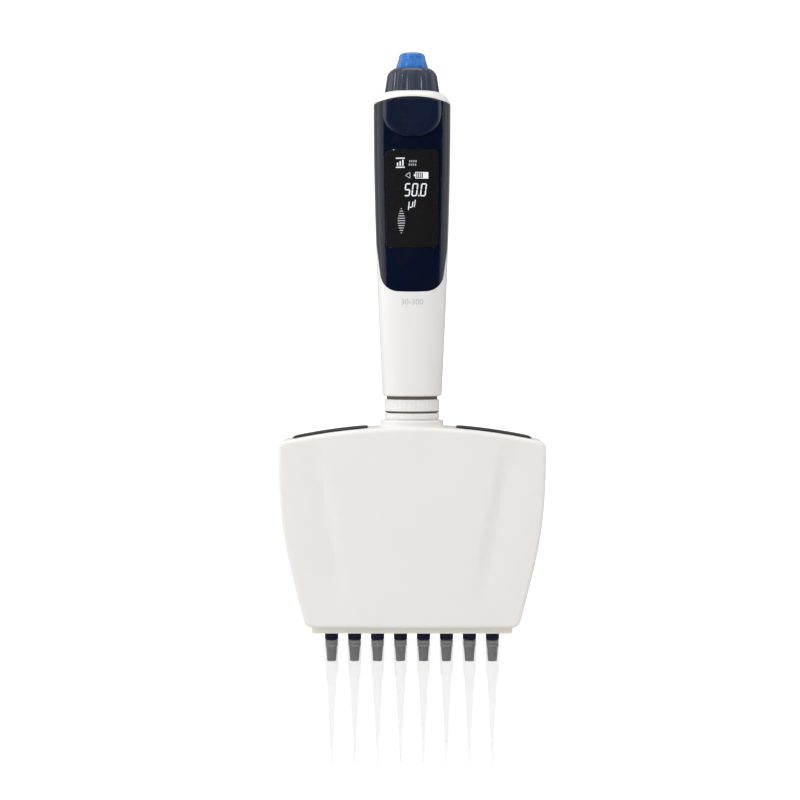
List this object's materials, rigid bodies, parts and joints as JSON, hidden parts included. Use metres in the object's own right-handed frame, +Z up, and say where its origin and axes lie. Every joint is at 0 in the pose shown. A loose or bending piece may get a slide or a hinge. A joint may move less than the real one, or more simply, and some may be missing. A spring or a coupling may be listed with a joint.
{
  "type": "electronic multichannel pipette with fitted tips",
  "caption": "Upright electronic multichannel pipette: handle with display, thumb ejector and setting wheel above a swivelling manifold with a row of nozzles and fitted tips.",
  "frame": {"origin": "on the handle's axis in the plane of the tip ends, at the middle of the row of tips", "axes": "+Z up the handle away from the tips, -Y out of the display, X along the row of tips"},
  "size_m": [0.1032, 0.0561, 0.2769],
  "materials": {
    "handle_white": "fine satin moulded ABS",
    "navy_gloss": "polished navy moulding",
    "wheel_navy": "polished navy moulding",
    "button_blue": "polished blue moulding",
    "display_glass": "smoked glass with printed black border",
    "display_panel": "panel",
    "board_green": "solder mask",
    "battery_wrap": "shrink wrap",
    "dark_seal": "moulded seal",
    "shoulder_rubber": "soft charcoal overmould",
    "manifold_white": "fine satin moulded ABS",
    "ejector_cream": "natural PEI moulding",
    "nozzle_polymer": "dark glass-filled polymer",
    "tip_polypropylene": "frosted natural polypropylene",
    "steel": "turned stainless steel",
    "spring_steel": "drawn spring wire",
    "motor_can": "plated can",
    "brass": "gold-plated contact",
    "magnet": "bonded ferrite",
    "internal_grey": "acetal"
  },
  "bodies": {
    "handle": {"grip_front_shell": "handle_white", "grip_rear_shell": "handle_white", "front_cover": "navy_gloss", "display_window": "display_glass", "display_module": "display_panel", "main_board": "board_green", "battery_cell": "battery_wrap", "battery_hatch": "handle_white", "top_collar": "handle_white", "encoder_board": "board_green", "switch_board": "board_green", "button_switch": "magnet", "finger_hook": "handle_white", "charge_contacts": "brass", "motor_body": "motor_can", "motor_mount": "internal_grey", "neck_spindle": "internal_grey", "coupling_nut": "handle_white", "neck_washer": "dark_seal", "swivel_washer": "dark_seal", "retaining_ring": "spring_steel", "grip_screws": "steel"},
    "operate_button": {"operate_button": "button_blue", "button_spring": "spring_steel"},
    "setting_wheel": {"setting_wheel": "wheel_navy", "encoder_ring": "magnet"},
    "tip_ejector": {"ejector_button": "navy_gloss", "ejector_stirrup": "internal_grey", "ejector_sleeve": "internal_grey", "ejector_spring": "spring_steel"},
    "rotor": {"motor_rotor": "magnet"},
    "drive_rod": {"lead_screw": "steel", "drive_rod": "steel"},
    "manifold": {"manifold_front_shell": "manifold_white", "manifold_rear_shell": "manifold_white", "manifold_hub": "manifold_white", "shoulder_pad_left": "shoulder_rubber", "shoulder_pad_right": "shoulder_rubber", "nozzle_block": "internal_grey", "seal_plate": "steel", "guide_pillars": "steel", "manifold_screws": "steel", "piston_seals": "dark_seal", "nozzles": "nozzle_polymer", "nozzle_o_rings": "dark_seal"},
    "ejector_frame": {"ejector_bar": "ejector_cream", "ejector_yoke": "internal_grey"},
    "piston_set": {"piston_carrier": "internal_grey", "carrier_cap": "internal_grey", "pistons": "steel"},
    "tip_1": {"tip_1": "tip_polypropylene"},
    "tip_2": {"tip_2": "tip_polypropylene"},
    "tip_3": {"tip_3": "tip_polypropylene"},
    "tip_4": {"tip_4": "tip_polypropylene"},
    "tip_5": {"tip_5": "tip_polypropylene"},
    "tip_6": {"tip_6": "tip_polypropylene"},
    "tip_7": {"tip_7": "tip_polypropylene"},
    "tip_8": {"tip_8": "tip_polypropylene"}
  },
  "joints": [
    {"name": "operate_press", "type": "slide", "parent": "handle", "child": "operate_button", "axis": [0, 0, -1], "range_m": [0, 0.0025], "stiffness_N_per_m": 600, "springref_m": -0.0015, "deforming": ["button_spring"]},
    {"name": "setting_wheel_turn", "type": "hinge", "parent": "handle", "child": "setting_wheel", "pos_m": [0, 0, 0.26145], "axis": [0, 0, 1], "continuous": true},
    {"name": "tip_ejector_press", "type": "slide", "parent": "handle", "child": "tip_ejector", "axis": [0, 0, -1], "range_m": [0, 0.007], "stiffness_N_per_m": 400, "springref_m": -0.004, "deforming": ["ejector_spring"]},
    {"name": "drive_rod_slide", "type": "slide", "parent": "handle", "child": "drive_rod", "axis": [0, 0, 1], "range_m": [-0.0015, 0.0142]},
    {"name": "rotor_spin", "type": "hinge", "parent": "handle", "child": "rotor", "pos_m": [0, 0, 0.173], "axis": [0, 0, 1], "range_deg": [-271, 2557]},
    {"name": "manifold_swivel", "type": "hinge", "parent": "handle", "child": "manifold", "pos_m": [0, 0, 0.1374], "axis": [0, 0, 1], "continuous": true},
    {"name": "ejector_frame_slide", "type": "slide", "parent": "manifold", "child": "ejector_frame", "axis": [0, 0, -1], "range_m": [0, 0.007]},
    {"name": "piston_set_slide", "type": "slide", "parent": "manifold", "child": "piston_set", "axis": [0, 0, 1], "range_m": [-0.00151, 0.01421]},
    {"name": "tip_1_slide", "type": "slide", "parent": "manifold", "child": "tip_1", "axis": [0, 0, -1], "range_m": [0, 0.007]},
    {"name": "tip_2_slide", "type": "slide", "parent": "manifold", "child": "tip_2", "axis": [0, 0, -1], "range_m": [0, 0.007]},
    {"name": "tip_3_slide", "type": "slide", "parent": "manifold", "child": "tip_3", "axis": [0, 0, -1], "range_m": [0, 0.007]},
    {"name": "tip_4_slide", "type": "slide", "parent": "manifold", "child": "tip_4", "axis": [0, 0, -1], "range_m": [0, 0.007]},
    {"name": "tip_5_slide", "type": "slide", "parent": "manifold", "child": "tip_5", "axis": [0, 0, -1], "range_m": [0, 0.007]},
    {"name": "tip_6_slide", "type": "slide", "parent": "manifold", "child": "tip_6", "axis": [0, 0, -1], "range_m": [0, 0.007]},
    {"name": "tip_7_slide", "type": "slide", "parent": "manifold", "child": "tip_7", "axis": [0, 0, -1], "range_m": [0, 0.007]},
    {"name": "tip_8_slide", "type": "slide", "parent": "manifold", "child": "tip_8", "axis": [0, 0, -1], "range_m": [0, 0.007]}
  ],
  "couplings": [
    {"joint": "ejector_frame_slide", "follows": "tip_ejector_press", "ratio": 1},
    {"joint": "rotor_spin", "follows": "drive_rod_slide", "rad_per_m": 3141.6},
    {"joint": "piston_set_slide", "follows": "drive_rod_slide", "ratio": 1},
    {"joint": "tip_1_slide", "follows": "tip_ejector_press", "ratio": 1},
    {"joint": "tip_2_slide", "follows": "tip_ejector_press", "ratio": 1},
    {"joint": "tip_3_slide", "follows": "tip_ejector_press", "ratio": 1},
    {"joint": "tip_4_slide", "follows": "tip_ejector_press", "ratio": 1},
    {"joint": "tip_5_slide", "follows": "tip_ejector_press", "ratio": 1},
    {"joint": "tip_6_slide", "follows": "tip_ejector_press", "ratio": 1},
    {"joint": "tip_7_slide", "follows": "tip_ejector_press", "ratio": 1},
    {"joint": "tip_8_slide", "follows": "tip_ejector_press", "ratio": 1}
  ]
}
